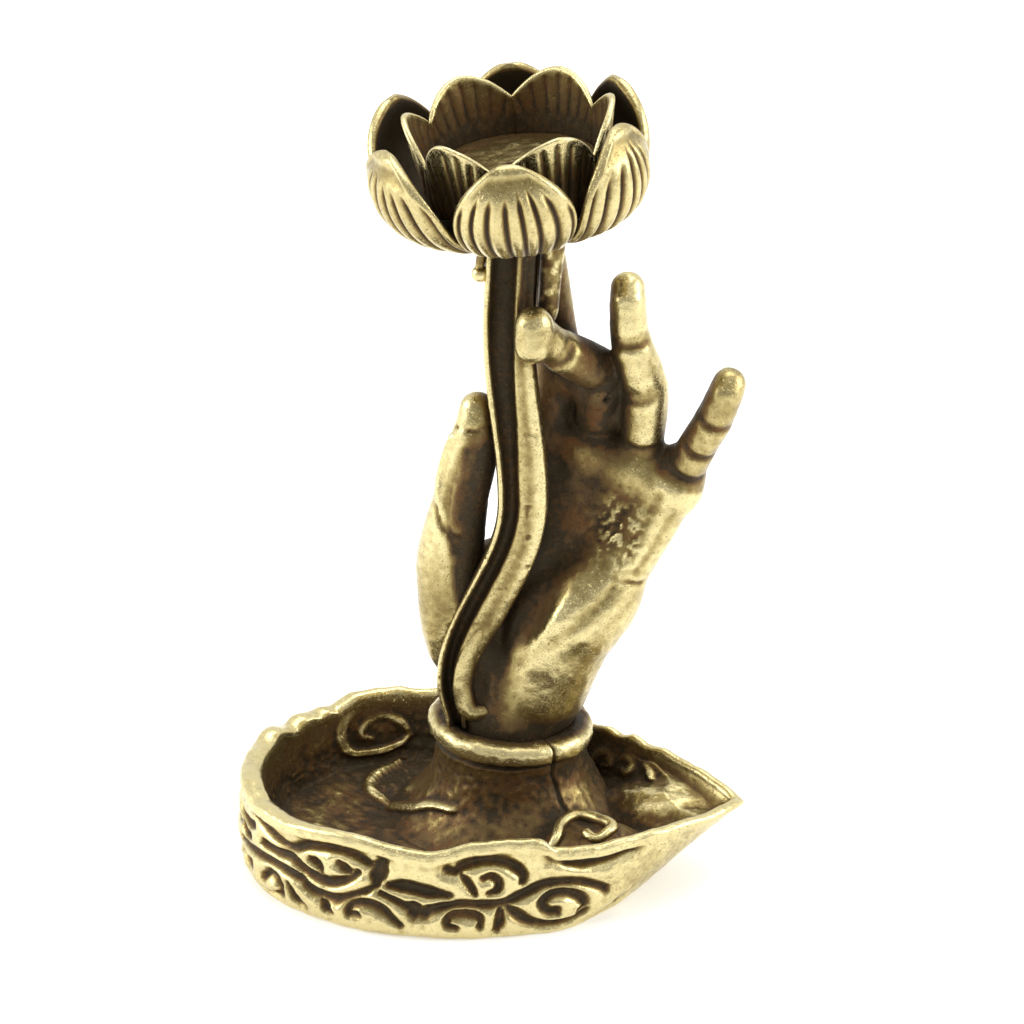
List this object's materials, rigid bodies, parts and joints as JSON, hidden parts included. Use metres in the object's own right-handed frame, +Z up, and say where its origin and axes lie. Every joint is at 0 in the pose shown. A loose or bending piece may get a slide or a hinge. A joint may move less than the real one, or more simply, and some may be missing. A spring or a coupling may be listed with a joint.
{
  "type": "backflow incense burner",
  "caption": "Cast brass backflow incense burner: a raised hand holds a lotus cone cup over a leaf-shaped dish, and smoke sinks down an open channel in the curving stem.",
  "frame": {"origin": "on the table plane under the dish, at the middle of the leaf's length and width", "axes": "+Z up; +X along the leaf towards its point; +Y from the open side of the hand to its back"},
  "size_m": [0.0486, 0.0342, 0.0767],
  "materials": {
    "dish_brass": "antiqued cast brass: worn pale on the high places, dark brown in the hollows, finely pitted",
    "collar_brass": "antiqued cast brass: worn pale on the high places, dark brown in the hollows, finely pitted",
    "hand_brass": "antiqued cast brass: worn pale on the high places, dark brown in the hollows, finely pitted",
    "stem_brass": "antiqued cast brass: worn pale on the high places, dark brown in the hollows, finely pitted",
    "cup_brass": "antiqued cast brass: worn pale on the high places, dark brown in the hollows, finely pitted",
    "inner_petal_brass": "antiqued cast brass: worn pale on the high places, dark brown in the hollows, finely pitted",
    "outer_petal_brass": "antiqued cast brass: worn pale on the high places, dark brown in the hollows, finely pitted"
  },
  "bodies": {
    "root": {"dish": "dish_brass", "wrist_collar": "collar_brass", "hand": "hand_brass", "smoke_channel": "stem_brass", "stalk": "stem_brass", "stem_bud": "stem_brass", "lotus_cup": "cup_brass", "inner_petal_1": "inner_petal_brass", "inner_petal_2": "inner_petal_brass", "inner_petal_3": "inner_petal_brass", "inner_petal_4": "inner_petal_brass", "inner_petal_5": "inner_petal_brass", "inner_petal_6": "inner_petal_brass", "outer_petal_1": "outer_petal_brass", "outer_petal_2": "outer_petal_brass", "outer_petal_3": "outer_petal_brass", "outer_petal_4": "outer_petal_brass", "outer_petal_5": "outer_petal_brass", "outer_petal_6": "outer_petal_brass"}
  },
  "joints": []
}
